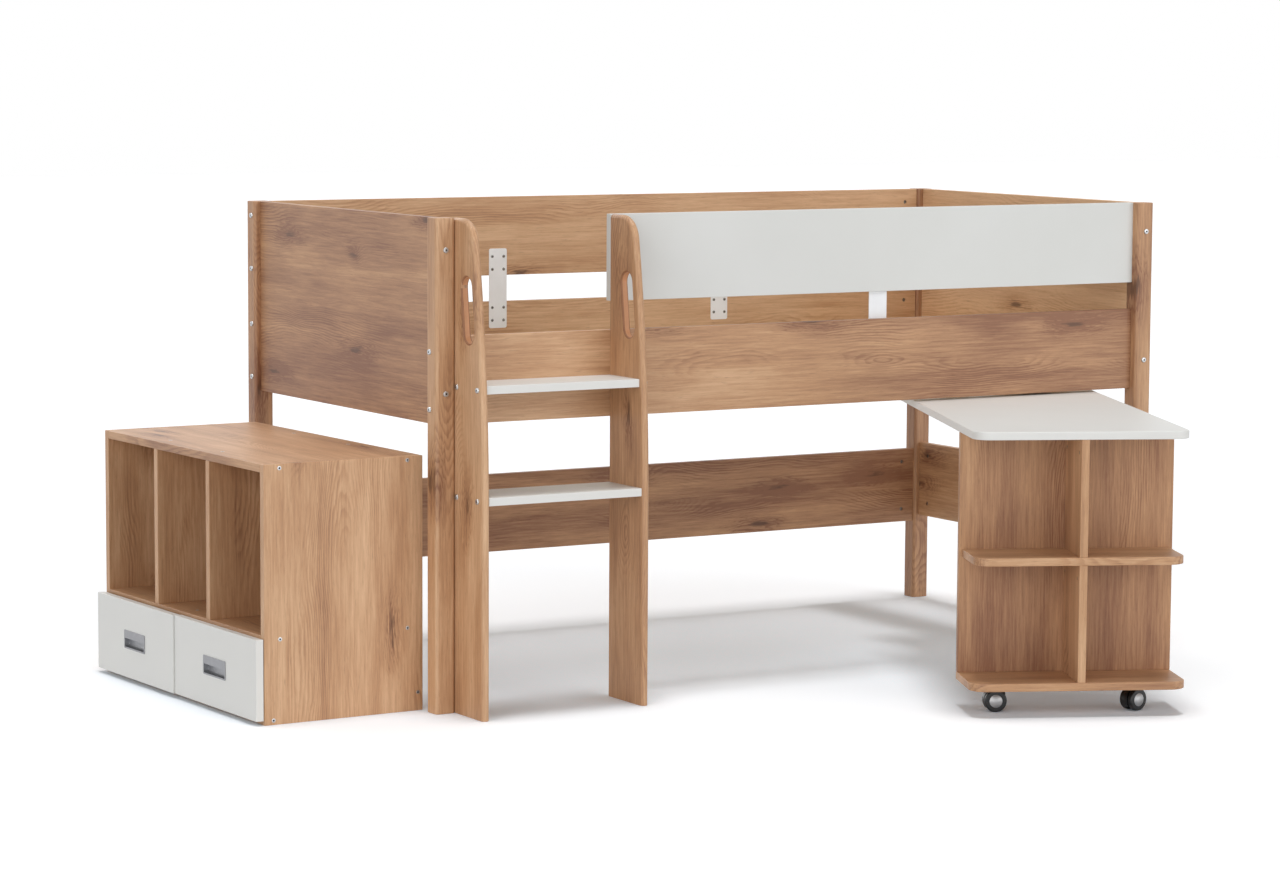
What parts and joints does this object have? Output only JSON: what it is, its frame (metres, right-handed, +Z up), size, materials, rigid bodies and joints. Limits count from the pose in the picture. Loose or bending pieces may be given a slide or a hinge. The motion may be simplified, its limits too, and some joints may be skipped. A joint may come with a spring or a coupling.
{
  "type": "cabin bed",
  "caption": "High single bed with slatted base, guard rail and ladder, a desk that swings out from under it on castors, and a cubby cabinet with drawers that slides in beneath.",
  "frame": {"origin": "on the floor, at the centre of the rectangle that the four posts stand in", "axes": "+X along the bed, from the ladder and cabinet end to the other end; +Y across the bed, from the ladder side to the back; +Z up"},
  "size_m": [2.4128, 1.7908, 1.095],
  "materials": {
    "oak_laminate": "oak-figured laminate on board, satin",
    "white_laminate": "warm white laminate on board, satin",
    "pine": "planed softwood, bare",
    "white_steel": "off-white powder coat",
    "zinc_steel": "bright zinc plate",
    "white_board": "white foil on board",
    "nylon": "moulded, natural white",
    "black_plastic": "moulded, fine grain",
    "chrome_caps": "bright chrome plate",
    "satin_chrome": "satin chrome plate"
  },
  "bodies": {
    "bed_frame": {"post_front_left": "oak_laminate", "post_front_right": "oak_laminate", "post_back_left": "oak_laminate", "post_back_right": "oak_laminate", "end_panel_left": "oak_laminate", "end_panel_right": "oak_laminate", "end_rail_right": "oak_laminate", "front_rail": "oak_laminate", "guard_rail": "white_laminate", "back_rail_top": "oak_laminate", "back_rail_middle": "oak_laminate", "back_rail_low": "oak_laminate", "slat_battens": "pine", "slats": "pine", "joining_plates": "white_steel", "wood_screws": "zinc_steel", "frame_bolts": "zinc_steel", "barrel_nuts": "zinc_steel", "ladder_side_left": "oak_laminate", "ladder_side_right": "oak_laminate", "ladder_tread_low": "white_laminate", "ladder_tread_high": "white_laminate", "pivot_bearer": "pine", "pivot_bolt": "zinc_steel"},
    "desk": {"pivot_bush": "nylon", "desk_top": "white_laminate", "desk_panel": "oak_laminate", "desk_shelf_middle": "oak_laminate", "desk_shelf_bottom": "oak_laminate", "desk_divider_upper": "oak_laminate", "desk_divider_lower": "oak_laminate", "desk_fixings": "zinc_steel", "castor_plates": "zinc_steel"},
    "castor_left_swivel": {"castor_left_hood": "black_plastic"},
    "castor_left_front": {"castor_left_wheel_front": "black_plastic", "castor_left_cap_front": "chrome_caps"},
    "castor_left_back": {"castor_left_wheel_back": "black_plastic", "castor_left_cap_back": "chrome_caps"},
    "castor_right_swivel": {"castor_right_hood": "black_plastic"},
    "castor_right_front": {"castor_right_wheel_front": "black_plastic", "castor_right_cap_front": "chrome_caps"},
    "castor_right_back": {"castor_right_wheel_back": "black_plastic", "castor_right_cap_back": "chrome_caps"},
    "cabinet": {"cabinet_side_near": "oak_laminate", "cabinet_side_far": "oak_laminate", "cabinet_top": "oak_laminate", "cabinet_shelf": "oak_laminate", "cabinet_dividers": "oak_laminate", "cabinet_partition": "oak_laminate", "cabinet_front_rail": "oak_laminate", "cabinet_rear_rail": "oak_laminate", "cabinet_back": "oak_laminate", "cabinet_screws": "zinc_steel", "drawer_runners": "white_steel"},
    "drawer_left": {"drawer_left_front": "white_laminate", "drawer_left_box": "white_board", "drawer_left_pull": "satin_chrome"},
    "drawer_right": {"drawer_right_front": "white_laminate", "drawer_right_box": "white_board", "drawer_right_pull": "satin_chrome"}
  },
  "joints": [
    {"name": "desk_swing", "type": "hinge", "parent": "bed_frame", "child": "desk", "pos_m": [0.679, -0.235, 0.64], "axis": [0, 0, 1], "range_deg": [-65.5, 24.5]},
    {"name": "castor_left_turn", "type": "hinge", "parent": "desk", "child": "castor_left_swivel", "pos_m": [0.134, -1.05591, 0.05], "axis": [0, 0, 1], "continuous": true},
    {"name": "castor_left_front_roll", "type": "hinge", "parent": "castor_left_swivel", "child": "castor_left_front", "pos_m": [0.11944, -1.04927, 0.025], "axis": [-0.4147, -0.91, 0], "continuous": true},
    {"name": "castor_left_back_roll", "type": "hinge", "parent": "castor_left_swivel", "child": "castor_left_back", "pos_m": [0.11944, -1.04927, 0.025], "axis": [-0.4147, -0.91, 0], "continuous": true},
    {"name": "castor_right_turn", "type": "hinge", "parent": "desk", "child": "castor_right_swivel", "pos_m": [0.417, -1.18488, 0.05], "axis": [0, 0, 1], "continuous": true},
    {"name": "castor_right_front_roll", "type": "hinge", "parent": "castor_right_swivel", "child": "castor_right_front", "pos_m": [0.40114, -1.18697, 0.025], "axis": [0.1305, -0.9914, 0], "continuous": true},
    {"name": "castor_right_back_roll", "type": "hinge", "parent": "castor_right_swivel", "child": "castor_right_back", "pos_m": [0.40114, -1.18697, 0.025], "axis": [0.1305, -0.9914, 0], "continuous": true},
    {"name": "cabinet_slide", "type": "slide", "parent": "bed_frame", "child": "cabinet", "axis": [1, 0, 0], "range_m": [0, 0.405]},
    {"name": "drawer_left_slide", "type": "slide", "parent": "cabinet", "child": "drawer_left", "axis": [-0.9997, -0.0244, 0], "range_m": [-0.0035, 0.24]},
    {"name": "drawer_right_slide", "type": "slide", "parent": "cabinet", "child": "drawer_right", "axis": [-0.9997, -0.0244, 0], "range_m": [0, 0.24]}
  ]
}
